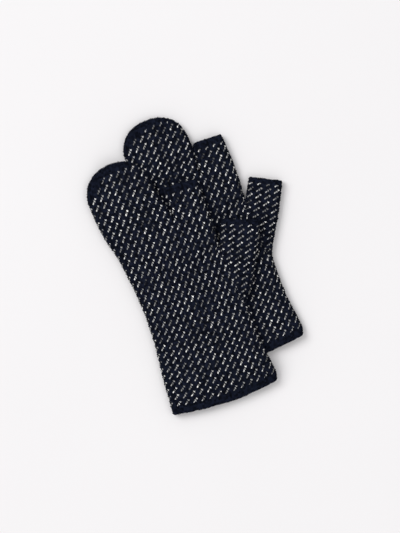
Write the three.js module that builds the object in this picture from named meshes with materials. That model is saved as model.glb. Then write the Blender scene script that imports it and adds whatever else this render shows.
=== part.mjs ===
// A pair of knitted mittens with an open thumb, an open index finger and a closed pouch for the
// other three fingers, laid flat with one mitten across the other. Millimetres, +Z up.
// Each mitten is drawn in its own flat frame: x towards the thumb, y towards the fingertips,
// and the origin at the middle of the cuff's edge.
import * as THREE from 'three';

// Fabric
const WALL = 2.4; // one knitted layer
const HOLLOW = 5.2; // between the top layer and the under layer
const THICK = 2 * WALL + HOLLOW;
const GAP = 0.3; // between neighbouring pieces
const MID = THICK / 2;

// Lengths along a mitten
const CUFF = 8.5; // plain band at the wrist
const CUFF_BOW = 5; // how far the cuff's edge bows out
const KNUCKLE = 184; // where the pouch and the index tube begin
const TIP_FOLD = 226; // where the fingertips bend
const SHOULDER = 228; // where the pouch starts to round over
const INDEX_BAND = 5;
const THUMB_BAND = 6.5;
const CROWN_SIDE = 2.4; // the plain crown at its two ends
const CROWN_TOP = 9; // and at the tip

// Places across a mitten
const POUCH_CENTRE = -15.7; // the pouch's middle at the knuckles
const POUCH_HALF = 34.4; // half its width at the middle finger joints
const SHOULDER_HALF = 32.6;
const HAND_LEFT = -49.8; // the outer edge at the knuckles
const HAND_RIGHT = 55.2; // the index edge at the knuckles
const SLIT = 18.7; // where pouch and index tube part
const SLIT_ROOM = 2.4; // keeps the index tube's base clear of the pouch as it bends
const CROTCH = [52, 144.5]; // between thumb and index finger
const GUSSET_FOOT = [56, 78]; // where the gusset begins on the hand's edge

// The two mittens. Lean is how far the pouch spreads sideways, and rise is how far its patterned
// knit rounds up above the shoulder. Each open end is a left corner and a right corner. The heel
// is where the thumb tube meets the gusset's outer edge, which then runs through thumbEdge.
const LOWER = {
  name: 'lower', lean: 5.2, rise: 16.1, indexEnd: [[25.6, 214.8], [54.6, 212.8]], heel: [67, 99],
  thumbEdge: [79.9, 120.8], thumbEnd: [[64.5, 162.9], [93.9, 146.7]], at: [41, 32], crosses: false,
};
const UPPER = {
  name: 'upper', lean: -5, rise: 20.7, indexEnd: [[18.6, 216.5], [56.3, 212.5]], heel: [71, 100],
  thumbEdge: [87.6, 127], thumbEnd: [[64.4, 165.9], [99.8, 150.6]], at: [0, 0], crosses: true,
};

// The upper mitten climbs from the table onto the lower one
const CLIMB = THICK + 0.4;
const CLIMB_FROM_X = -38;
const CLIMB_TO_X = -14;
const CLIMB_FROM_Y = -6;
const CLIMB_TO_Y = 25;

const knit = { color: 0x151a29, roughness: 0.95, metalness: 0 };
const plain = { color: 0x10141f, roughness: 0.92, metalness: 0 };

const smooth = (value, from, to) => THREE.MathUtils.smoothstep(value, from, to);
const line = (...points) => new THREE.SplineCurve(points.map(([x, y]) => new THREE.Vector2(x, y)));

function drape(mitten, x, y) {
  if (!mitten.crosses) return 0;
  return CLIMB * smooth(x, CLIMB_FROM_X, CLIMB_TO_X) * smooth(y, CLIMB_FROM_Y, CLIMB_TO_Y);
}

// A section is a four-sided patch: across runs from its left edge to its right edge, and along
// from its base to its tip, both from 0 to 1. Bows push the base or the tip outwards.
function section(left, right, baseBow = () => 0, tipBow = () => 0) {
  const at = (across, along) => {
    const point = left.getPointAt(along).lerp(right.getPointAt(along), across);
    point.y += baseBow(across) * (1 - along) + tipBow(across) * along;
    return point;
  };
  at.width = left.getPointAt(0.5).distanceTo(right.getPointAt(0.5));
  at.reach = (left.getLength() + right.getLength()) / 2;
  return at;
}

// A plate of one section between two heights above the mitten's underside
function plate(mitten, at, low, high, { left = 0, right = 1, base = 0, tip = 1 } = {}, cells = [6, 6]) {
  const geometry = new THREE.BoxGeometry(1, 1, 1, cells[0], cells[1], 1);
  const place = geometry.attributes.position;
  for (let i = 0; i < place.count; i += 1) {
    const across = THREE.MathUtils.lerp(left, right, place.getX(i) + 0.5);
    const along = THREE.MathUtils.lerp(base, tip, place.getY(i) + 0.5);
    const point = at(across, along);
    const height = place.getZ(i) < 0 ? low : high;
    place.setXYZ(i, point.x, point.y, height + drape(mitten, point.x, point.y));
  }
  return geometry;
}

// The fold that closes a section along one edge, between its two layers
function side(mitten, at, edge, { base = 0, tip = 1 } = {}, cells = 6) {
  const inner = WALL / at.width;
  const span = edge === 'left' ? { left: 0, right: inner } : { left: 1 - inner, right: 1 };
  const low = WALL + GAP;
  const high = THICK - WALL - GAP;
  return plate(mitten, at, low, high, { ...span, base, tip }, [1, cells]);
}

// A round-ended slot outline, with its straight runs cut into steps so that it can follow a drape
function slotPoints(width, height, steps) {
  const round = height / 2;
  const points = [];
  const arcSteps = 4;
  for (let i = 0; i <= steps; i += 1) {
    points.push(new THREE.Vector2(round - width / 2 + ((width - height) * i) / steps, -round));
  }
  for (let i = 1; i < arcSteps; i += 1) {
    const turn = (Math.PI * i) / arcSteps - Math.PI / 2;
    points.push(new THREE.Vector2(width / 2 - round + round * Math.cos(turn), round * Math.sin(turn)));
  }
  return [...points, ...points.map((p) => new THREE.Vector2(-p.x, -p.y))];
}

// A knitted band: a flattened ring around the open end of a section. The lathe gives a closed
// ring of four-cornered section, and each corner is then placed on the outline.
function band(mitten, at, base, tip, steps) {
  const outer = slotPoints(at.width, THICK, steps);
  const inner = slotPoints(at.width - 2 * WALL, HOLLOW, steps);
  const corners = [[outer, base], [inner, base], [inner, tip], [outer, tip], [outer, base]];
  const profile = corners.map((corner, i) => new THREE.Vector2(1, i));
  const geometry = new THREE.LatheGeometry(profile, outer.length);
  const place = geometry.attributes.position;
  for (let i = 0; i < place.count; i += 1) {
    const [outline, along] = corners[i % corners.length];
    const spot = outline[Math.floor(i / corners.length) % outline.length];
    const point = at(spot.x / at.width + 0.5, along);
    place.setXYZ(i, point.x, point.y, MID + spot.y + drape(mitten, point.x, point.y));
  }
  return geometry;
}

function piece(mitten, name, geometry, looks) {
  geometry.deleteAttribute('normal');
  geometry.deleteAttribute('uv');
  const mesh = new THREE.Mesh(geometry, new THREE.MeshStandardMaterial(looks));
  mesh.name = `${mitten.name}_${name}`;
  return mesh;
}

// The top and under layers of one section
function layers(mitten, name, at, span, cells) {
  return [
    piece(mitten, `${name}_top`, plate(mitten, at, THICK - WALL, THICK, span, cells), knit),
    piece(mitten, `${name}_under`, plate(mitten, at, 0, WALL, span, cells), knit),
  ];
}

function hand(mitten) {
  const left = line([-53.5, 3], [-49.5, 39], [-44.5, 74], [-42.3, 114], [-45.5, 162], [HAND_LEFT, KNUCKLE]);
  const right = line([55.5, -4], [57.5, 8], [55, 35], [54.8, 60], GUSSET_FOOT, [53.9, 112], CROTCH,
    [54.3, 163.6], [HAND_RIGHT, KNUCKLE]);
  const at = section(left, right, (across) => -4 * CUFF_BOW * across * (1 - across));
  const cuffTop = CUFF / at.reach;
  const start = (CUFF + GAP) / at.reach;
  // the folds stop at rows of the layers' own grid, so that both follow the same drape
  const rows = 16;
  const row = (count) => start + ((1 - start) * count) / rows;
  const gussetRows = 7;
  const indexRows = 3;
  const thumbSide = { base: start, tip: row(gussetRows) };
  const indexSide = { base: row(rows - indexRows) };
  return [
    piece(mitten, 'cuff_band', band(mitten, at, 0, cuffTop, 12), plain),
    ...layers(mitten, 'hand', at, { base: start }, [12, rows]),
    piece(mitten, 'hand_outer_side', side(mitten, at, 'left', { base: start }, rows), knit),
    piece(mitten, 'hand_thumb_side', side(mitten, at, 'right', thumbSide, gussetRows), knit),
    piece(mitten, 'hand_index_side', side(mitten, at, 'right', indexSide, indexRows), knit),
  ];
}

// The flat triangle of knit between the hand's edge and the line where the thumb folds
function gusset(mitten) {
  const foot = [GUSSET_FOOT[0] + 2.5 * GAP, GUSSET_FOOT[1] + 2];
  const heel = [mitten.heel[0] - 2 * GAP, mitten.heel[1] - GAP];
  const crotch = [CROTCH[0] + 2.5 * GAP, CROTCH[1] - 5];
  const rest = mitten.crosses ? CLIMB : 0;
  const slab = (corners, low, high) => {
    const shape = new THREE.Shape(corners.map(([x, y]) => new THREE.Vector2(x, y)));
    const geometry = new THREE.ExtrudeGeometry(shape, { depth: high - low, bevelEnabled: false });
    return geometry.translate(0, 0, rest + low);
  };
  const triangle = [foot, heel, crotch];
  const fold = [foot, heel, [heel[0] - WALL, heel[1] + 1], [foot[0], foot[1] + 4]];
  return [
    piece(mitten, 'thumb_gusset_top', slab(triangle, THICK - WALL, THICK), knit),
    piece(mitten, 'thumb_gusset_under', slab(triangle, 0, WALL), knit),
    piece(mitten, 'thumb_gusset_side', slab(fold, WALL + GAP, THICK - WALL - GAP), knit),
  ];
}

function pouch(mitten) {
  const baseY = KNUCKLE + GAP;
  const middle = POUCH_CENTRE + 0.5 * mitten.lean;
  const fold = POUCH_CENTRE + mitten.lean;
  const joint = 205;
  const at = section(
    line([HAND_LEFT, baseY], [middle - POUCH_HALF, joint], [fold - SHOULDER_HALF - 0.3, TIP_FOLD]),
    line([SLIT - 0.7, baseY], [middle + POUCH_HALF, joint], [fold + SHOULDER_HALF + 0.3, TIP_FOLD]));
  const arch = (across) => Math.sqrt(Math.max(0, 1 - (2 * across - 1) ** 2));
  // the end columns stand a little in from the very edge, where the arch rises steeply
  const even = (across) => (1 - Math.cos(Math.PI * across)) / 2;
  const edge = (sign) => line([fold + sign * (SHOULDER_HALF + 0.3), TIP_FOLD + GAP],
    [fold + sign * SHOULDER_HALF, SHOULDER]);
  const flat = section(edge(-1), edge(1), undefined, (across) => mitten.rise * arch(across));
  const tip = (across, along) => flat(even(across), along);
  const crown = (across, along) => {
    const point = tip(across, 1);
    const reach = CROWN_SIDE + (CROWN_TOP - CROWN_SIDE) * arch(even(across));
    point.y += GAP + along * reach;
    return point;
  };
  const crownGeometry = plate(mitten, crown, 0, THICK, {}, [16, 4]);
  roundOver(mitten, crownGeometry, crown);
  return [
    ...layers(mitten, 'pouch', at, {}, mitten.crosses ? [12, 4] : [2, 4]),
    piece(mitten, 'pouch_outer_side', side(mitten, at, 'left', {}, 4), knit),
    piece(mitten, 'pouch_index_side', side(mitten, at, 'right', {}, 4), knit),
    ...layers(mitten, 'pouch_tip', tip, {}, [16, 2]),
    piece(mitten, 'pouch_crown', crownGeometry, plain),
  ];
}

// The crown thins from full thickness at its inner edge to a rounded rim
function roundOver(mitten, geometry, at) {
  const rim = 0.85;
  const source = new THREE.BoxGeometry(1, 1, 1, 16, 4, 1).attributes.position;
  const place = geometry.attributes.position;
  for (let i = 0; i < place.count; i += 1) {
    const along = source.getY(i) + 0.5;
    const half = MID * Math.sqrt(1 - (rim * along) ** 2);
    const point = at(source.getX(i) + 0.5, along);
    const height = source.getZ(i) < 0 ? MID - half : MID + half;
    place.setZ(i, height + drape(mitten, point.x, point.y));
  }
}

function indexTube(mitten) {
  const baseY = KNUCKLE + GAP;
  const at = section(
    line([SLIT + SLIT_ROOM, baseY], mitten.indexEnd[0]),
    line([HAND_RIGHT, baseY], mitten.indexEnd[1]));
  const bandBase = 1 - INDEX_BAND / at.reach;
  const knitTip = bandBase - GAP / at.reach;
  return [
    ...layers(mitten, 'index', at, { tip: knitTip }, [2, 2]),
    piece(mitten, 'index_outer_side', side(mitten, at, 'right', { tip: knitTip }, 2), knit),
    piece(mitten, 'index_pouch_side', side(mitten, at, 'left', { tip: knitTip }, 2), knit),
    piece(mitten, 'index_band', band(mitten, at, bandBase, 1, 3), plain),
  ];
}

function thumb(mitten) {
  const [endLeft, endRight] = mitten.thumbEnd;
  const [crotch, heel] = [CROTCH, mitten.heel];
  const at = section(
    line([crotch[0] + 2 * GAP, crotch[1] + GAP], endLeft),
    line([heel[0] + 2 * GAP, heel[1] + GAP], mitten.thumbEdge, endRight));
  const rightLength = Math.hypot(endRight[0] - heel[0], endRight[1] - heel[1]);
  const leftLength = Math.hypot(endLeft[0] - crotch[0], endLeft[1] - crotch[1]);
  const bandBase = 1 - (2 * THUMB_BAND) / (rightLength + leftLength);
  const knitTip = bandBase - (2 * GAP) / (rightLength + leftLength);
  return [
    ...layers(mitten, 'thumb', at, { tip: knitTip }, [2, 4]),
    piece(mitten, 'thumb_outer_side', side(mitten, at, 'right', { tip: knitTip }, 4), knit),
    piece(mitten, 'thumb_index_side', side(mitten, at, 'left', { tip: knitTip }, 2), knit),
    piece(mitten, 'thumb_band', band(mitten, at, bandBase, 1, 3), plain),
  ];
}

function makeMitten(mitten) {
  const group = new THREE.Group();
  group.add(...hand(mitten), ...gusset(mitten), ...pouch(mitten), ...indexTube(mitten), ...thumb(mitten));
  group.position.set(mitten.at[0], mitten.at[1], 0);
  return group;
}

const pair = new THREE.Group();
pair.add(makeMitten(LOWER), makeMitten(UPPER));

// Centre the pair's outline over the origin, with its underside at height 0
const outline = new THREE.Box3().setFromObject(pair);
const centre = outline.getCenter(new THREE.Vector3());
pair.position.set(-centre.x, -centre.y, -outline.min.z);

export default pair;
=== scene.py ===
import math

import bpy
import numpy as np
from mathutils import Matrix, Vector


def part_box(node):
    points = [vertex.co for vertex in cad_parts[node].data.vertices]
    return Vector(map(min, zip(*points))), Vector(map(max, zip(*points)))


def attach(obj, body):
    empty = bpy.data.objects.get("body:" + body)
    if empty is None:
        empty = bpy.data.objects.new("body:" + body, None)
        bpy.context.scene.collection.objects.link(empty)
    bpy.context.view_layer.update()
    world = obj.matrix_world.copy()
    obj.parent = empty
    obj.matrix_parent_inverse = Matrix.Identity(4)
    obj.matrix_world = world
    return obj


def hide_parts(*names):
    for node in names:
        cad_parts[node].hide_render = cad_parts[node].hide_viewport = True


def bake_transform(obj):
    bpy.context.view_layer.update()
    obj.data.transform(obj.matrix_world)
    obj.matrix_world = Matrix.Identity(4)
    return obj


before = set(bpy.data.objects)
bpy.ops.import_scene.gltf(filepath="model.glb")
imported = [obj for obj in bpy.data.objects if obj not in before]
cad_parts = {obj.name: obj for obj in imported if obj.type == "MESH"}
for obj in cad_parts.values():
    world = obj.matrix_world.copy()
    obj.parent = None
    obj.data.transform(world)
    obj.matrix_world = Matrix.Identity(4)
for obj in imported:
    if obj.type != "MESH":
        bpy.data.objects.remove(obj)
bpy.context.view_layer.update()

# Two knitted mittens, one across the other. Each is drawn flat in its own frame, in millimetres:
# u towards the thumb, v towards the fingertips. The knit is real geometry: every face of every
# tube is a fine grid that follows the stitches, is wrapped round the fold lines, and is raised
# along each leg of each stitch.

# Fabric, in millimetres
THICK = 10.0  # height of one mitten laid flat
HALF = THICK / 2
RELIEF = 0.62  # how far a stitch's leg stands above the groove beside it
WAIST = 0.42  # height of a leg where two rows meet, as a share of its full height
FOLD_RELIEF = 0.9  # stitches open up round a fold, so they stand out by this much more
FOLD_FLECK = 0.5  # and the thicker flecks stand out further still
RIM = 1.1  # radius of the rolled edge at an open end
RIM_STEPS = 6
RIM_RELIEF = 0.8  # relief on the rolled edge, as a share of the relief elsewhere
LINING_STEP = 1.2  # rows of the fabric beside each step of the lining
CUFF_LINING = 24  # steps of lining behind each rim
INDEX_LINING = 6  # the fingers' linings end before the knit bends
THUMB_LINING = 8
SLACK = (math.pi / 2 - 1) * HALF  # extra knit that a fold takes up
TURN = math.pi / 2 * HALF  # knit between a flat face and the middle of the fold
CLIMB = 10.4  # the upper mitten lies on the lower one, and comes down beside it
CLIMB_U = (-38, -14)  # over these distances
CLIMB_V = (-6, 25)
SETTLE = 0.7  # how far the top faces sag between the folds

# Stitches: columns and rows are counted from the hand's left fold and from the cuff's edge
HAND_COLUMNS = 56  # across one face of the hand
HAND_ROWS = 98
POUCH_COLUMNS = (-3, 42)  # far enough to pass the pouch's folds on both sides
INDEX_COLUMNS = (32, HAND_COLUMNS)
CUFF_CROWDING = 0.94  # height of the rows at the cuff, as a share of their mean height
CUFF_ROWS = 4.5  # plain rows in the cuff band
INDEX_BAND_ROWS = 3.5
THUMB_BAND_ROWS = 2.5
ROW = 1.94  # height of a row in the pouch and the index tube
THUMB_PITCH = 2.2  # width of a column in the thumb tube
THUMB_ROW = 1.65
THUMB_ROWS = 56  # rows from the thumb's open end down to the foot of the gusset
THUMB_SINK = 0.25  # the thumb's knit lies this much deeper, so that it goes under the hand's
SPLIT = 4  # grid cells along and across one stitch
VEE = 0.6  # how far a leg rises across half a stitch, in rows
REPEAT = 4  # stitches from one fleck to the next, along a row and up a column
FLECK = 3  # stitches in one fleck
NUDGE = 1e-6  # keeps a grid line from falling on the wrong side of a stitch's edge

# Shape of both mittens, in millimetres
CUFF_BOW = 5  # how far the cuff's edge bows towards the arm
CUFF_PEEP = 1.5  # how far the under face's cuff shows past the top one
KNUCKLE = 184  # height at which the hand parts into pouch and index tube
TIP_FOLD = 226  # height of the hinge of the pouch's tip
POUCH_PARTED = KNUCKLE + 21  # the pouch's knit is cut into its two pieces here
SLIT = 20.9  # sideways place of the base of the slit beside the index tube
CROTCH = (52.2, 142.5)  # where the thumb parts from the hand
FOOT = (56, 78)  # foot of the thumb gusset
GUSSET_START = 62  # below this height the gusset has no knit of its own
GUSSET_LAP = 3  # how far the gusset's knit runs under the hand's
TUCKED_SIDE = (70, 84, 132, 143)  # the hand's side has no fold between the middle two heights
TIP_POWER = 2.2  # 2 would make the tip's outline an ellipse
CROWN = 9.5  # greatest depth of the plain crown
CROWN_PEAK = 110  # direction in degrees, seen from the tip's middle, in which the crown is deepest
CROWN_NARROWING = 1.2  # how fast the crown fades to each side of that
VIEW_MIDDLE = (26.7, 130)  # what the camera looks at, in the upper mitten's frame
VIEW_TURN = math.atan2(-0.375, 0.927)  # how far the mittens lie turned in the view

HAND_LEFT = [(-53.5, 3), (-49.5, 39), (-44.5, 74), (-42.3, 114), (-45.5, 162), (-49.8, KNUCKLE)]
HAND_RIGHT = [(55.5, -4), (57.5, 8), (55, 35), (54.8, 60), FOOT]
SEAM = [FOOT, (54.6, 112), (51.4, 136), CROTCH]
SEAM_ENDS = [(53.5, 58), (55.5, 72)], [(50.5, 152)]  # the seam's line, carried on past both ends
INDEX_RIGHT = [CROTCH, (54.3, 163.6), (55.2, KNUCKLE)]

# Each mitten's own shape. "tip" is the middle, half width and rise of the pouch's rounded end, and
# "lean" is how far the knit leans sideways on its way up the pouch.
LOWER = {
    "name": "lower",
    "crosses": False,
    "index_end": [(25.6, 214.8), (54.6, 212.8)],
    "thumb_end": [(64.5, 162.9), (93.9, 146.7)],
    "thumb_edge": [(79.9, 120.8), (67, 100.5), (59, 87)],
    "heel": (67, 99),
    "pouch_left": [(-47.6, 203)],
    "pouch_right": [(23.4, 211), (22.2, 200)],
    "slit_edge": [(22.6, 200), (24.1, 211)],
    "tip": (-10.5, 221, 33.2, 32.4),
    "lean": 5.5,
}
UPPER = {
    "name": "upper",
    "crosses": True,
    "index_end": [(21.4, 216.5), (56.3, 212.5)],
    "thumb_end": [(64.4, 165.9), (99.8, 150.6)],
    "thumb_edge": [(92, 135.4), (83, 118.5), (75, 105.6), (69.5, 97), (61, 86.5)],
    "heel": (71, 100),
    "pouch_left": [(-52.3, 201)],
    "pouch_right": [(15.8, 209), (17.9, 198), (19.8, 190)],
    "slit_edge": [(21.9, 190), (22.2, 199), (21.7, 209)],
    "tip": (-20, 224, 33.3, 33.8),
    "lean": -4.5,
}

# Uneven knitting: each table holds one value for a fleck or a stitch, and repeats
FLECK_TABLE = 64
STITCH_TABLE = 128
MIDDLE_BRIGHT = 0.55  # the thin middle stitch of a fleck, beside its ends
chance = np.random.default_rng(7)
FLECK_BRIGHT = np.clip(chance.normal(1.08, 0.4, (FLECK_TABLE, FLECK_TABLE)), 0.12, 1.3)
FLECK_DEPTH = 0.25 - 0.5 * FLECK_BRIGHT + chance.normal(0.2, 0.1, (FLECK_TABLE, FLECK_TABLE))
FLECK_DEPTH = np.clip(FLECK_DEPTH, -0.15, 0.4)
STITCH_BRIGHT = chance.uniform(0.35, 1.25, (STITCH_TABLE, STITCH_TABLE))
NAVY_BRIGHT = chance.uniform(0.3, 1.5, (STITCH_TABLE, STITCH_TABLE))
STITCH_LIFT = chance.uniform(-0.4, 0.25, (STITCH_TABLE, STITCH_TABLE))
SLIP = chance.normal(0, 0.11, (2, STITCH_TABLE, STITCH_TABLE))


# --- Flat shapes ---------------------------------------------------------------------------------

def spline(points, steps=10):
    """A smooth curve through the points."""
    known = np.array([points[0], *points, points[-1]], float)
    t = np.linspace(0, 1, steps, endpoint=False)[:, None]
    parts = [
        0.5 * (2 * b + (c - a) * t + (2 * a - 5 * b + 4 * c - d) * t**2 + (3 * b - a - 3 * c + d) * t**3)
        for a, b, c, d in zip(known, known[1:], known[2:], known[3:])
    ]
    return np.vstack([*parts, known[-1:]])


def tip_outline(tip, steps=60):
    """The rounded top of the pouch, from its left side over to its right."""
    u, v, half, rise = tip
    angle = np.linspace(0, math.pi, steps)
    wide = np.sign(np.cos(angle)) * np.abs(np.cos(angle)) ** (2 / TIP_POWER)
    return np.column_stack([u - half * wide, v + rise * np.sin(angle) ** (2 / TIP_POWER)])


def beyond(end, before, reach=9):
    """A point past an open end, straight on from the edge that leads there."""
    step = np.subtract(end, before)
    return tuple(end + step / np.linalg.norm(step) * reach)


def fold_lines(mitten):
    """The lines where each tube folds, each drawn with the fabric on its right, and carried on past
    the open ends."""
    u, v, half, _ = mitten["tip"]
    index_left, index_right = mitten["index_end"]
    thumb_left, thumb_right = mitten["thumb_end"]
    slit = (SLIT, KNUCKLE)
    slit_edge = mitten["slit_edge"]
    left = spline([(-54.2, -6), *HAND_LEFT, *mitten["pouch_left"], (u - half, v)])
    right = spline([(u + half, v), *mitten["pouch_right"], (SLIT, KNUCKLE + 2), slit])
    thumb_edge = mitten["thumb_edge"]
    return {
        "pouch": np.vstack([left[:-1], tip_outline(mitten["tip"]), right[1:]]),
        "slit": spline([slit, *slit_edge, index_left, beyond(index_left, slit_edge[-1])]),
        "index": spline([beyond(index_right, INDEX_RIGHT[-1]), index_right, *INDEX_RIGHT[::-1]]),
        "thumb": np.array([CROTCH, thumb_left, beyond(thumb_left, CROTCH)], float),
        "outer": spline([beyond(thumb_right, thumb_edge[0]), thumb_right, *thumb_edge,
                         *HAND_RIGHT[::-1], (54, -12)]),
    }


def nearest(line, spots, batch=8192, touching=1e-3):
    """For each spot: the nearest point of a fold line, the way in from there, and how far in it is.
    Past the line's own ends every spot counts as inside, so fabric closes round a slit's base."""
    start = line[:-1]
    step = np.diff(line, axis=0)
    normal = np.column_stack([step[:, 1], -step[:, 0]]) / np.linalg.norm(step, axis=1)[:, None]
    last = len(step) - 1
    feet, ways, depths = [], [], []
    for first in range(0, len(spots), batch):
        here = spots[first:first + batch]
        share = np.clip(((here[:, None] - start) * step).sum(2) / (step**2).sum(1), 0, 1)
        gap = np.linalg.norm(here[:, None] - start - share[..., None] * step, axis=2)
        best = gap.argmin(1)
        row = np.arange(len(here))
        part = share[row, best]
        foot = start[best] + part[:, None] * step[best]
        other = np.clip(best + (part == 1).astype(int) - (part == 0), 0, last)
        way = normal[best] + normal[other]
        way /= np.linalg.norm(way, axis=1)[:, None]
        offset = here - foot
        past_end = ((best == 0) & (part == 0)) | ((best == last) & (part == 1))
        side = np.where((offset * way).sum(1) >= 0, 1, -1)
        side[past_end] = 1
        far = gap[row, best]
        clear = far > touching
        way[clear] = offset[clear] / far[clear, None] * side[clear, None]
        feet.append(foot)
        ways.append(way)
        depths.append(far * side)
    return np.vstack(feet), np.vstack(ways), np.concatenate(depths)


def smooth(value, start, end):
    """Rises gently from 0 at the start to 1 at the end."""
    t = np.clip((value - start) / (end - start), 0, 1)
    return t * t * (3 - 2 * t)


def drape(mitten, u, v):
    """How far the mitten is lifted by the one that it lies on."""
    return CLIMB * smooth(u, *CLIMB_U) * smooth(v, *CLIMB_V) if mitten["crosses"] else 0 * u


def sag(u, v):
    """Slow unevenness of a top face, from 0 to 1."""
    waves = np.sin(u / 13 + v / 31) + np.sin(v / 17 - u / 29 + 1.3) + np.sin((u + v) / 11 + 4)
    return 0.5 + waves / 6


# --- Wrapping a flat grid round the folds --------------------------------------------------------

def wrapped(mitten, lines, spots, layer, outside=np.inf):
    """Places flat spots on a tube's top face (layer 1) or under face (layer -1). Returns the places,
    the directions out of the fabric, and how much knit lies between each spot and the fold's middle.
    A line has no say over spots further outside it than the given distance."""
    reach = np.full(len(spots), np.inf)
    flat = spots.copy()
    turn = np.full(len(spots), math.pi / 2)
    way_in = np.zeros_like(spots)
    for line in lines:
        foot, way, depth = nearest(line, spots)
        along = depth + SLACK
        nearer = (along < reach) & (depth > -outside)
        reach[nearer] = along[nearer]
        bent = nearer & (along < TURN)
        angle = np.clip(along[bent] / HALF, 0, math.pi / 2)
        flat[bent] = foot[bent] + way[bent] * (HALF * (1 - np.cos(angle)))[:, None]
        turn[bent] = angle
        way_in[bent] = way[bent]
    out = np.column_stack([-way_in * np.cos(turn)[:, None], layer * np.sin(turn)])
    height = HALF + layer * HALF * np.sin(turn)
    if layer > 0:
        height -= SETTLE * sag(*flat.T) * np.sin(turn) ** 4
    return np.column_stack([flat, height + drape(mitten, *flat.T)]), out, reach


# --- Knitting ------------------------------------------------------------------------------------

def stitch_relief(i, j):
    """Height of the two legs of each stitch, from 0 in the grooves to 1."""
    leg = np.sin(2 * math.pi * i) ** 2
    return leg * (WAIST + (1 - WAIST) * np.sin(math.pi * (j % 1)) ** 0.8)


def of_stitch(table, column, row):
    """What a table of uneven knitting says about each stitch."""
    return table[..., column % STITCH_TABLE, row % STITCH_TABLE]


def is_fleck(i, j):
    """Whether white yarn shows at this place in the knit. A fleck is three stitches on a diagonal:
    a full one at each end, trimmed outside the diagonal, and a thin one pulled in between them."""
    i, j = i + NUDGE, j - NUDGE
    column, row = np.floor(i).astype(int), np.floor(j).astype(int)
    across, up = i % 1, j % 1
    place = row % REPEAT
    low, high = 0.25, 0.75
    first = (place == 0) & (up > low) & (across > low) & ((across > 0.5) | (up < high))
    middle = (place == 1) & (across > low) & (across < high)
    last = (place == FLECK - 1) & (up < high) & (across < high) & ((across < 0.5) | (up > low))
    return ((column - row) % REPEAT == 0) & (first | middle | last)


def fleck_looks(column, row):
    """Brightness of a fleck's stitches, and how far each fleck is pulled in."""
    across = (column - row) // REPEAT % FLECK_TABLE
    along = row // REPEAT % FLECK_TABLE
    bright = FLECK_BRIGHT[across, along] * of_stitch(STITCH_BRIGHT, column, row)
    bright = bright * np.where(row % REPEAT == 1, MIDDLE_BRIGHT, 1)
    return bright, FLECK_DEPTH[across, along]


def slip(i, j):
    """How far the knit has slipped from its regular place, in columns and rows."""
    column, row = np.floor(i).astype(int), np.floor(j).astype(int)
    across, up = i % 1, j % 1

    def at_height(level):
        here, beside = of_stitch(SLIP, column, level), of_stitch(SLIP, column + 1, level)
        return here * (1 - across) + beside * across

    return at_height(row) * (1 - up) + at_height(row + 1) * up


def knit_face(mitten, lines, lattice, layer):
    """One face of a tube as a grid of vertices, rows by columns. The lattice gives flat(i, j), its
    columns and rows, the open end's row if it has one, and the rows between which flecks show."""
    first_column, last_column = lattice["columns"]
    first_row, last_row = lattice["rows"]
    i = np.linspace(first_column, last_column, int(round((last_column - first_column) * SPLIT)) + 1)
    j = np.linspace(first_row, last_row, int(round((last_row - first_row) * SPLIT)) + 1)
    j_grid, i_grid = np.meshgrid(j, i, indexing="ij")
    open_end = lattice.get("open_end")
    vee = VEE * (np.abs(2 * (i_grid % 1) - 1) - 0.5)
    if open_end is not None:
        vee *= smooth(np.abs(j_grid - open_end), 0, 2)
    slip_across, slip_up = slip(i_grid, j_grid)
    flat = lattice["flat"](i_grid + slip_across, j_grid + vee + slip_up)
    spots = np.column_stack([side.ravel() for side in flat])
    place, out, reach = wrapped(mitten, lines, spots, layer, lattice.get("outside", np.inf))
    column = np.floor(i_grid + NUDGE).astype(int)
    row = np.floor(j_grid + NUDGE).astype(int)
    above_band = j_grid >= lattice.get("plain_until", -np.inf)
    below_band = j_grid <= lattice.get("plain_from", np.inf)
    fleck = is_fleck(i_grid, j_grid) & above_band & below_band
    _, pulled = fleck_looks(column, row)
    raised = stitch_relief(i_grid, j_grid) + of_stitch(STITCH_LIFT, column, row)
    raised -= np.where(fleck, pulled, 0)
    bent = np.linalg.norm(out[:, :2], axis=1)
    raised = raised.ravel() * (1 + FOLD_RELIEF * bent) + FOLD_FLECK * bent * fleck.ravel()
    push = ((raised - 1) * RELIEF - lattice.get("sink", 0))[:, None]
    shape = i_grid.shape
    grid = {
        "place": (place + out * push).reshape(*shape, 3),
        "reach": reach.reshape(shape),
        "stitch": np.dstack([i_grid, j_grid]),
        "spot": spots.reshape(*shape, 2),
    }
    if open_end is None:
        return grid
    return with_rim(mitten, lines, lattice, layer, grid, (place, out, reach))


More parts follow.
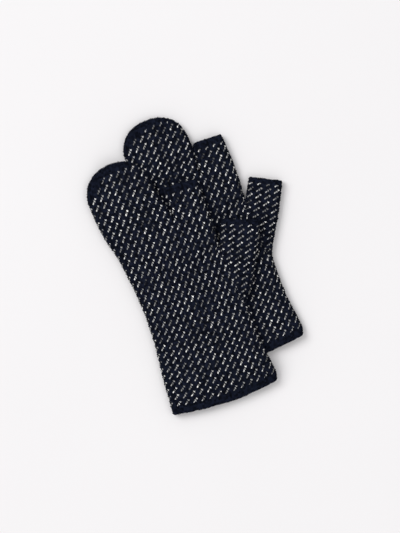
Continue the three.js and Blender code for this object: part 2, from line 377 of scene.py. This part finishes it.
def with_rim(mitten, lines, lattice, layer, grid, surface):
    """Adds the rolled edge at an open end and the lining that runs back inside from it. Each of
    their rows counts as half a row of stitches."""
    shape = grid["reach"].shape
    place, out, reach = (a.reshape(*shape, -1) for a in surface)
    at_start = lattice["open_end"] == lattice["rows"][0]
    edge, inner = (0, 1) if at_start else (-1, -2)
    way = grid["spot"][edge] - grid["spot"][inner]
    way = np.column_stack([way / np.linalg.norm(way, axis=1)[:, None], np.zeros(len(way))])
    leg = stitch_relief(grid["stitch"][edge, :, 0], 0.5)[:, None]
    rows, reaches = [], []
    for step in range(1, RIM_STEPS + 1):
        angle = math.pi * step / RIM_STEPS
        normal = out[edge] * math.cos(angle) + way * math.sin(angle)
        rolled = way * RIM * math.sin(angle) - out[edge] * RIM * (1 - math.cos(angle))
        rows.append(place[edge] + rolled + normal * (leg - 1) * RELIEF * RIM_RELIEF)
        reaches.append(reach[edge, :, 0])
    i = grid["stitch"][edge, :, 0]
    turn = -1 if at_start else 1
    for step in range(1, lattice["lining"] + 1):
        back = lattice["open_end"] - turn * step * LINING_STEP
        spots = np.column_stack(lattice["flat"](i, np.full_like(i, back)))
        inside, normal, span = wrapped(mitten, lines, spots, layer, lattice.get("outside", np.inf))
        rows.append(inside - normal * 2 * RIM)
        reaches.append(span)
    row_numbers = lattice["open_end"] + turn * 0.5 * np.arange(1, len(rows) + 1)
    stitches = [np.column_stack([i, np.full_like(i, number)]) for number in row_numbers]
    order = slice(None, None, turn)
    joined = {
        "place": np.array(rows)[order],
        "reach": np.array(reaches)[order],
        "stitch": np.array(stitches)[order],
        "spot": np.repeat(grid["spot"][edge][None], len(rows), 0),
    }
    pair = (joined, grid) if at_start else (grid, joined)
    return {key: np.concatenate([part[key] for part in pair]) for key in grid}


def cells_of(grid):
    """The corner numbers of every grid cell, each cell's middle as a stitch and as a spot, and
    whether it is inside the folds."""
    rows, columns = grid["reach"].shape
    number = np.arange(rows * columns).reshape(rows, columns)
    corner = np.stack([number[:-1, :-1], number[:-1, 1:], number[1:, 1:], number[1:, :-1]], -1)
    inside = (grid["reach"].ravel()[corner] > 0).any(-1)
    stitch = grid["stitch"].reshape(-1, 2)[corner].mean(2)
    spot = grid["spot"].reshape(-1, 2)[corner].mean(2)
    return corner, stitch, spot, inside


def cut(grid, layer, chosen, plain):
    """The chosen cells of a grid as a patch: vertices, cells, and each cell's yarn and brightness."""
    corner, stitch, _, inside = cells_of(grid)
    cells = corner[chosen & inside]
    middle = stitch[chosen & inside]
    if layer < 0:
        cells = cells[:, ::-1]
    used, cells = np.unique(cells, return_inverse=True)
    column = np.floor(middle[:, 0]).astype(int)
    row = np.floor(middle[:, 1]).astype(int)
    bright, _ = fleck_looks(column, row)
    fleck = np.zeros(len(middle), int) if plain else is_fleck(*middle.T).astype(int)
    bright = np.where(fleck, bright, of_stitch(NAVY_BRIGHT, column, row))
    return {
        "place": grid["place"].reshape(-1, 3)[used],
        "stitch": grid["stitch"].reshape(-1, 2)[used],
        "cells": cells.reshape(-1, 4),
        "yarn": fleck,
        "bright": bright,
    }


# --- Meshes --------------------------------------------------------------------------------------

def set_values(target, key, values, kind=np.float32):
    """Fills one property of all of a mesh's elements at once."""
    target.foreach_set(key, np.asarray(values, kind).ravel())


def make_piece(mitten, name, patches, slot, *cad_nodes):
    """Joins patches into one object in the row frame, in metres."""
    offset = 0
    cells = []
    for patch in patches:
        cells.append(patch["cells"] + offset)
        offset += len(patch["place"])
    cells = np.vstack(cells)
    place = (np.vstack([p["place"] for p in patches]) + [*origin(mitten), 0]) / 1000
    stitch = np.vstack([p["stitch"] for p in patches])
    mesh = bpy.data.meshes.new(name)
    mesh.vertices.add(len(place))
    set_values(mesh.vertices, "co", place)
    mesh.loops.add(cells.size)
    set_values(mesh.loops, "vertex_index", cells, np.int32)
    mesh.polygons.add(len(cells))
    set_values(mesh.polygons, "loop_start", np.arange(0, cells.size, 4), np.int32)
    set_values(mesh.polygons, "material_index", np.concatenate([p["yarn"] for p in patches]), np.int32)
    set_values(mesh.polygons, "use_smooth", np.ones(len(cells)), bool)
    mesh.update(calc_edges=True)
    bright = mesh.attributes.new("bright", "FLOAT", "FACE")
    set_values(bright.data, "value", np.concatenate([p["bright"] for p in patches]))
    lattice = mesh.attributes.new("stitch", "FLOAT_VECTOR", "POINT")
    set_values(lattice.data, "vector", np.column_stack([stitch, 0 * stitch[:, 0]]))
    mesh.materials.append(NAVY)
    mesh.materials.append(WHITE)
    mesh.validate()
    piece = bpy.data.objects.new(f"{mitten['name']}_knit_{name}", mesh)
    bpy.context.scene.collection.objects.link(piece)
    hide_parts(*(f"{mitten['name']}_{node}" for node in cad_nodes))
    return piece


def origin(mitten):
    """Where the mitten's flat frame starts in the row frame, from the CAD index band's far corner."""
    _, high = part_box(f"{mitten['name']}_index_band")
    return high.x * 1000 - mitten["index_end"][1][0], high.y * 1000 - mitten["index_end"][0][1]


def row_point(mitten, u, v):
    """A point of the mitten's flat frame, in the row frame and in metres."""
    at = origin(mitten)
    return ((u + at[0]) / 1000, (v + at[1]) / 1000, 0)


# --- Tubes ---------------------------------------------------------------------------------------

def hand_lattice(layer):
    """The hand's rows run from its left edge to its right edge, crowding slightly at the cuff."""
    left_line = spline(HAND_LEFT, steps=24)
    right_line = spline([*HAND_RIGHT, *SEAM[1:], *INDEX_RIGHT[1:]], steps=24)
    fold_ends, seam_starts, seam_ends, fold_starts = TUCKED_SIDE

    def along(line, share):
        length = np.concatenate([[0], np.cumsum(np.linalg.norm(np.diff(line, axis=0), axis=1))])
        return [np.interp(share * length[-1], length, line[:, k]) for k in (0, 1)]

    def flat(i, j):
        across = i / HAND_COLUMNS
        row_share = j / HAND_ROWS * (CUFF_CROWDING + (1 - CUFF_CROWDING) * j / HAND_ROWS)
        share = row_share * (1 - RIM / KNUCKLE) + RIM / KNUCKLE
        left_u, left_v = along(left_line, np.clip(share, 0, 1))
        right_u, right_v = along(right_line, np.clip(share, 0, 1))
        past_foot = smooth(right_v, fold_ends, seam_starts)
        past_crotch = smooth(right_v, seam_ends, fold_starts)
        left_u, right_u = left_u - SLACK, right_u + SLACK * (1 - past_foot * (1 - past_crotch))
        bow = -4 * CUFF_BOW * across * (1 - across) * (1 - share)
        if layer < 0:
            peep = np.sin(math.pi * smooth(across, 0.2, 1)) ** 2 * (1 - smooth(share, 0, 0.15))
            bow -= CUFF_PEEP * peep
        past = (share - np.clip(share, 0, 1)) * KNUCKLE
        return left_u + (right_u - left_u) * across, left_v + (right_v - left_v) * across + bow + past

    return {
        "flat": flat,
        "columns": (0, HAND_COLUMNS),
        "rows": (0, HAND_ROWS),
        "open_end": 0,
        "lining": CUFF_LINING,
        "outside": 2 * SLACK,
        "plain_until": CUFF_ROWS,
    }


def hand_pitch():
    """Width of a column at the knuckles."""
    return (INDEX_RIGHT[-1][0] - HAND_LEFT[-1][0] + 2 * SLACK) / HAND_COLUMNS


def pouch_lattice(mitten):
    """The pouch's rows go straight on from the hand's, leaning to one side on the way up."""
    _, v, _, rise = mitten["tip"]

    def flat(i, j):
        height = (j - HAND_ROWS) * ROW
        lean = mitten["lean"] * smooth(height, 0, v - KNUCKLE)
        return HAND_LEFT[-1][0] - SLACK + i * hand_pitch() + lean, KNUCKLE + height

    rows = math.ceil((v + rise + SLACK - KNUCKLE) / ROW)
    return {"flat": flat, "columns": POUCH_COLUMNS, "rows": (HAND_ROWS, HAND_ROWS + rows)}


def index_lattice(mitten):
    """The index tube's rows go on from the hand's, and tilt to run along its open end."""
    (left_u, left_v), (right_u, right_v) = mitten["index_end"]
    rows = round((min(left_v, right_v) - KNUCKLE) / ROW)

    def flat(i, j):
        share = (j - HAND_ROWS) / rows
        right = INDEX_RIGHT[-1][0] + (right_u - INDEX_RIGHT[-1][0]) * share + SLACK
        u = right - (HAND_COLUMNS - i) * hand_pitch()
        end = left_v + (right_v - left_v) * (u - left_u) / (right_u - left_u) - RIM
        return u, KNUCKLE + (end - KNUCKLE) * share

    return {
        "flat": flat,
        "columns": INDEX_COLUMNS,
        "rows": (HAND_ROWS, HAND_ROWS + rows),
        "open_end": HAND_ROWS + rows,
        "lining": INDEX_LINING,
        "plain_from": HAND_ROWS + rows - INDEX_BAND_ROWS,
    }


def thumb_lattice(mitten):
    """The thumb's rows are counted down from its open end, and go on through the gusset."""
    left, right = (np.array(corner, float) for corner in mitten["thumb_end"])
    across = (right - left) / np.linalg.norm(right - left)
    sides = [left - CROTCH, right - mitten["heel"]]
    along = sum(side / np.linalg.norm(side) for side in sides)
    along /= np.linalg.norm(along)

    def flat(i, j):
        spot = left + across * (i * THUMB_PITCH)[..., None] + along * (j * THUMB_ROW - RIM)[..., None]
        return spot[..., 0], spot[..., 1]

    columns = math.ceil(np.linalg.norm(right - left) / THUMB_PITCH)
    extra_left, extra_right = 8, 12
    return {
        "flat": flat,
        "columns": (-extra_left, columns + extra_right),
        "rows": (-THUMB_ROWS, 0),
        "open_end": 0,
        "lining": THUMB_LINING,
        "plain_from": -THUMB_BAND_ROWS,
        "sink": THUMB_SINK,
    }


def beside_seam(spot):
    """How far each spot lies on the thumb's side of the seam with the hand."""
    before, after = SEAM_ENDS
    line = spline([*before, *SEAM[1:], *after], steps=8)
    _, _, depth = nearest(line, spot.reshape(-1, 2))
    return depth.reshape(spot.shape[:-1])


def crown_depth(mitten, spot):
    """Depth of the plain crown below the tip's edge: deepest at the upper left, none at the right."""
    u, v, _, _ = mitten["tip"]
    angle = np.degrees(np.arctan2(spot[..., 1] - v, spot[..., 0] - u))
    return CROWN * np.cos(np.radians(np.clip((angle - CROWN_PEAK) * CROWN_NARROWING, -90, 90)))


# --- The parts of one mitten ---------------------------------------------------------------------

def make_hand(mitten, lines):
    body = f"{mitten['name']}_hand"
    band = []
    folds = [lines[name] for name in ("pouch", "slit", "index", "outer")]
    for layer, side in ((1, "top"), (-1, "under")):
        grid = knit_face(mitten, folds, hand_lattice(layer), layer)
        _, stitch, _, _ = cells_of(grid)
        knitted = stitch[..., 1] > CUFF_ROWS
        band.append(cut(grid, layer, ~knitted, True))
        nodes = [f"hand_{side}"]
        if layer > 0:
            nodes += ["hand_outer_side", "hand_thumb_side", "hand_index_side"]
        knit = [cut(grid, layer, knitted, False)]
        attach(make_piece(mitten, f"hand_{side}", knit, "flecked_knit", *nodes), body)
    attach(make_piece(mitten, "cuff_band", band, "plain_knit", "cuff_band"), body)


def make_thumb(mitten, lines):
    lattice = thumb_lattice(mitten)
    folds = [lines[name] for name in ("thumb", "outer")]
    knit, band = [], []
    for layer in (1, -1):
        grid = knit_face(mitten, folds, lattice, layer)
        _, stitch, spot, _ = cells_of(grid)
        kept = (beside_seam(spot) > -GUSSET_LAP) & (spot[..., 1] > GUSSET_START)
        plain = stitch[..., 1] > lattice["plain_from"]
        knit.append(cut(grid, layer, kept & ~plain, False))
        band.append(cut(grid, layer, plain, True))
    hand, thumb = (f"{mitten['name']}_{part}" for part in ("hand", "thumb"))
    tube = make_piece(mitten, "thumb", knit, "flecked_knit", "thumb_gusset_top", "thumb_gusset_under",
                      "thumb_gusset_side", "thumb_top", "thumb_under", "thumb_outer_side",
                      "thumb_index_side")
    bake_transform(tube)
    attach(make_piece(mitten, "thumb_band", band, "plain_knit", "thumb_band"), thumb)


def make_index(mitten, lines):
    lattice = index_lattice(mitten)
    folds = [lines[name] for name in ("slit", "index")]
    knit, band = [], []
    for layer in (1, -1):
        grid = knit_face(mitten, folds, lattice, layer)
        _, stitch, _, _ = cells_of(grid)
        plain = stitch[..., 1] > lattice["plain_from"]
        knit.append(cut(grid, layer, ~plain, False))
        band.append(cut(grid, layer, plain, True))
    hand, index = (f"{mitten['name']}_{part}" for part in ("hand", "index"))
    tube = make_piece(mitten, "index", knit, "flecked_knit", "index_top", "index_under",
                      "index_outer_side", "index_pouch_side")
    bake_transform(tube)
    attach(make_piece(mitten, "index_band", band, "plain_knit", "index_band"), index)


def make_pouch(mitten, lines):
    lattice = pouch_lattice(mitten)
    base, top, crown = [], [], []
    for layer in (1, -1):
        grid = knit_face(mitten, [lines["pouch"]], lattice, layer)
        _, _, spot, _ = cells_of(grid)
        _, _, depth = nearest(lines["pouch"], spot.reshape(-1, 2))
        in_crown = depth.reshape(spot.shape[:-1]) < crown_depth(mitten, spot)
        closing = in_crown & (spot[..., 1] > TIP_FOLD)
        low = spot[..., 1] < POUCH_PARTED
        base.append(cut(grid, layer, low, False))
        top.append(cut(grid, layer, ~low & ~closing, False))
        crown.append(cut(grid, layer, closing, True))
    name = mitten["name"]
    lower_part = make_piece(mitten, "pouch", base, "flecked_knit", "pouch_top", "pouch_under",
                            "pouch_outer_side", "pouch_index_side")
    upper_part = make_piece(mitten, "pouch_tip", top, "flecked_knit", "pouch_tip_top",
                            "pouch_tip_under")
    crown_part = make_piece(mitten, "pouch_crown", crown, "plain_knit", "pouch_crown")
    pouch = f"{name}_pouch" if mitten["crosses"] else f"{name}_hand"
    for piece in (upper_part, crown_part):
        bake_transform(piece)
    if mitten["crosses"]:
        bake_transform(lower_part)
    else:
        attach(lower_part, pouch)


# --- Materials -----------------------------------------------------------------------------------

# Where each colour lies on its ramp, and the colour
NAVY_COLOURS = [(0.3, (0.0024, 0.0032, 0.0072)), (0.7, (0.0098, 0.013, 0.0265))]
WHITE_COLOURS = [(0.3, (0.6, 0.595, 0.58)), (0.7, (0.84, 0.83, 0.81))]
PAPER_COLOURS = [(0, (0.82, 0.808, 0.815)), (1, (0.85, 0.838, 0.845))]


def node(tree, kind, inputs=(), **settings):
    """Makes a node. An input is either a value or another node's output, which is linked to it."""
    made = tree.nodes.new(kind)
    for key, value in settings.items():
        setattr(made, key, value)
    for name, value in dict(inputs).items():
        if isinstance(value, bpy.types.NodeSocket):
            tree.links.new(value, made.inputs[name])
        else:
            made.inputs[name].default_value = value
    return made


def ramp(tree, factor, stops):
    made = node(tree, "ShaderNodeValToRGB", {"Fac": factor})
    elements = made.color_ramp.elements
    while len(elements) < len(stops):
        elements.new(0.5)
    for element, (at, colour) in zip(elements, stops):
        element.position = at
        element.color = (*colour, 1)
    return made.outputs["Color"]


def noise(tree, place, **settings):
    return node(tree, "ShaderNodeTexNoise", {"Vector": place, **settings}).outputs["Fac"]


def mixed(tree, share, first, second):
    inputs = {"Factor": share, "A": first, "B": second}
    return node(tree, "ShaderNodeMix", inputs, data_type="FLOAT").outputs[0]


def yarn(name, stops, sheen):
    """Wool yarn: mottled colour, fibres that twist along the legs, and a soft halo."""
    material = bpy.data.materials.new(name)
    material.use_nodes = True
    tree = material.node_tree
    tree.nodes.clear()
    stitch = node(tree, "ShaderNodeAttribute", attribute_name="stitch").outputs["Vector"]
    bright = node(tree, "ShaderNodeAttribute", attribute_name="bright").outputs["Fac"]
    patches = noise(tree, stitch, Scale=0.6, Detail=3.0)
    fibres = noise(tree, stitch, Scale=7.0, Detail=6.0, Roughness=0.7, Distortion=0.6)
    waves = {"Vector": stitch, "Scale": 1.6, "Distortion": 2.5, "Detail": 2.0}
    twist = node(tree, "ShaderNodeTexWave", waves, bands_direction="DIAGONAL").outputs["Fac"]
    colour = ramp(tree, mixed(tree, 0.6, patches, fibres), stops)
    shaded = node(tree, "ShaderNodeMix", {"Factor": 1.0}, data_type="RGBA", blend_type="MULTIPLY")
    tree.links.new(colour, shaded.inputs["A"])
    tree.links.new(bright, shaded.inputs["B"])
    rough = node(tree, "ShaderNodeMapRange", {"Value": fibres, "To Min": 0.75, "To Max": 1.0})
    relief = {"Height": mixed(tree, 0.4, fibres, twist), "Strength": 0.6, "Distance": 0.0004}
    shader = node(tree, "ShaderNodeBsdfPrincipled", {
        "Base Color": shaded.outputs[2],
        "Roughness": rough.outputs["Result"],
        "Normal": node(tree, "ShaderNodeBump", relief).outputs["Normal"],
        "Sheen Weight": sheen,
        "Sheen Roughness": 0.5,
        "Specular IOR Level": 0.04,
    })
    shader.inputs["Sheen Tint"].default_value = (0.55, 0.62, 0.85, 1)
    output = node(tree, "ShaderNodeOutputMaterial")
    tree.links.new(shader.outputs["BSDF"], output.inputs["Surface"])
    return material


def paper():
    """The plain pale surface below."""
    material = bpy.data.materials.new("pale_surface")
    material.use_nodes = True
    tree = material.node_tree
    shader = tree.nodes["Principled BSDF"]
    place = node(tree, "ShaderNodeTexCoord").outputs["Object"]
    colour = ramp(tree, noise(tree, place, Scale=3.0, Detail=4.0), PAPER_COLOURS)
    tree.links.new(colour, shader.inputs["Base Color"])
    shader.inputs["Roughness"].default_value = 0.9
    shader.inputs["Specular IOR Level"].default_value = 0.1
    return material


# --- Surroundings --------------------------------------------------------------------------------

def make_floor():
    mesh = bpy.data.meshes.new("floor")
    size = 6  # half of a side, in metres
    corners = [(-size, -size, 0), (size, -size, 0), (size, size, 0), (-size, size, 0)]
    mesh.from_pydata(corners, [], [(0, 1, 2, 3)])
    mesh.materials.append(paper())
    floor = bpy.data.objects.new("floor", mesh)
    bpy.context.scene.collection.objects.link(floor)


def make_light(name, place, size, power):
    """A soft square light that faces the pair."""
    light = bpy.data.lights.new(name, "AREA")
    light.size = size
    light.energy = power
    lamp = bpy.data.objects.new(name, light)
    lamp.location = place
    lamp.rotation_euler = (-Vector(place)).to_track_quat("-Z", "Y").to_euler()
    bpy.context.scene.collection.objects.link(lamp)


def make_world():
    """Even, nearly white light from all round."""
    world = bpy.data.worlds.new("studio")
    world.use_nodes = True
    background = world.node_tree.nodes["Background"]
    background.inputs["Color"].default_value = (1, 0.995, 1, 1)
    background.inputs["Strength"].default_value = 0.6
    bpy.context.scene.world = world
    bpy.context.scene.view_settings.view_transform = "Standard"


def make_camera():
    """Straight down, with the mittens turned as they lie in the photo."""
    lens = bpy.data.cameras.new("camera")
    height = 1.8
    long_side = 0.533  # metres of floor that the picture's longer side covers
    lens.sensor_width = 36
    lens.lens = lens.sensor_width * height / long_side
    camera = bpy.data.objects.new("camera", lens)
    across, up, _ = row_point(UPPER, *VIEW_MIDDLE)
    camera.location = (across, up, height)
    camera.rotation_euler = (0, 0, VIEW_TURN)
    bpy.context.scene.collection.objects.link(camera)
    bpy.context.scene.camera = camera


NAVY = yarn("navy_yarn", NAVY_COLOURS, 0.015)
WHITE = yarn("white_yarn", WHITE_COLOURS, 0.05)

for pair_half in (LOWER, UPPER):
    folds_of_half = fold_lines(pair_half)
    for make in (make_hand, make_thumb, make_index, make_pouch):
        make(pair_half, folds_of_half)

make_floor()
make_light("key", (-2.8, 3.6, 4.9), 4.0, 276)
make_light("fill", (0.9, -1.4, 2.8), 2.0, 15)
make_world()
make_camera()
